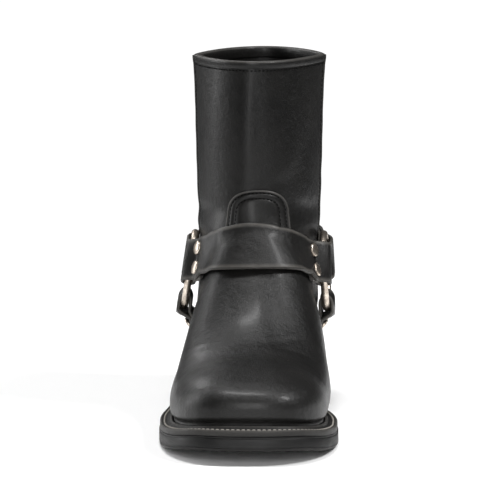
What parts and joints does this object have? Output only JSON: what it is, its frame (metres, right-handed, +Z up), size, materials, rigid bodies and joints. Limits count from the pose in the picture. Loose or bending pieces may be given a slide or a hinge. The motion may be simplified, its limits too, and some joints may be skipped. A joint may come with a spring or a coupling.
{
  "type": "harness biker boot",
  "caption": "Pull-on ankle-high harness boot with a round-square toe, stacked heel, storm welt and ring-and-strap harness; right foot, standing on its sole.",
  "frame": {"origin": "on the floor, at the middle of the heel lift's ground face", "axes": "+Z up, -Y to the toe, +Y to the heel's back, +X to the inner (medial) side, -X to the outer (lateral) side"},
  "size_m": [0.1104, 0.3, 0.226],
  "materials": {
    "leather": "black waxed leather, semi-gloss",
    "lining": "dark matt lining leather",
    "rubber": "matt black rubber",
    "metal": "aged nickel-plated, warm and slightly worn"
  },
  "bodies": {
    "root": {"upper": "leather", "insole": "lining", "welt": "leather", "outsole": "rubber", "heel": "leather", "heel_lift": "rubber", "front_strap": "leather", "back_strap": "leather", "lower_strap_lateral": "leather", "lower_strap_medial": "leather", "ring_lateral": "metal", "ring_medial": "metal", "rivet_front_lateral_1": "metal", "rivet_front_lateral_2": "metal", "rivet_front_medial_1": "metal", "rivet_front_medial_2": "metal", "rivet_back_lateral_1": "metal", "rivet_back_lateral_2": "metal", "rivet_back_medial_1": "metal", "rivet_back_medial_2": "metal", "rivet_lower_lateral_1": "metal", "rivet_lower_lateral_2": "metal", "rivet_lower_medial_1": "metal", "rivet_lower_medial_2": "metal"}
  },
  "joints": []
}
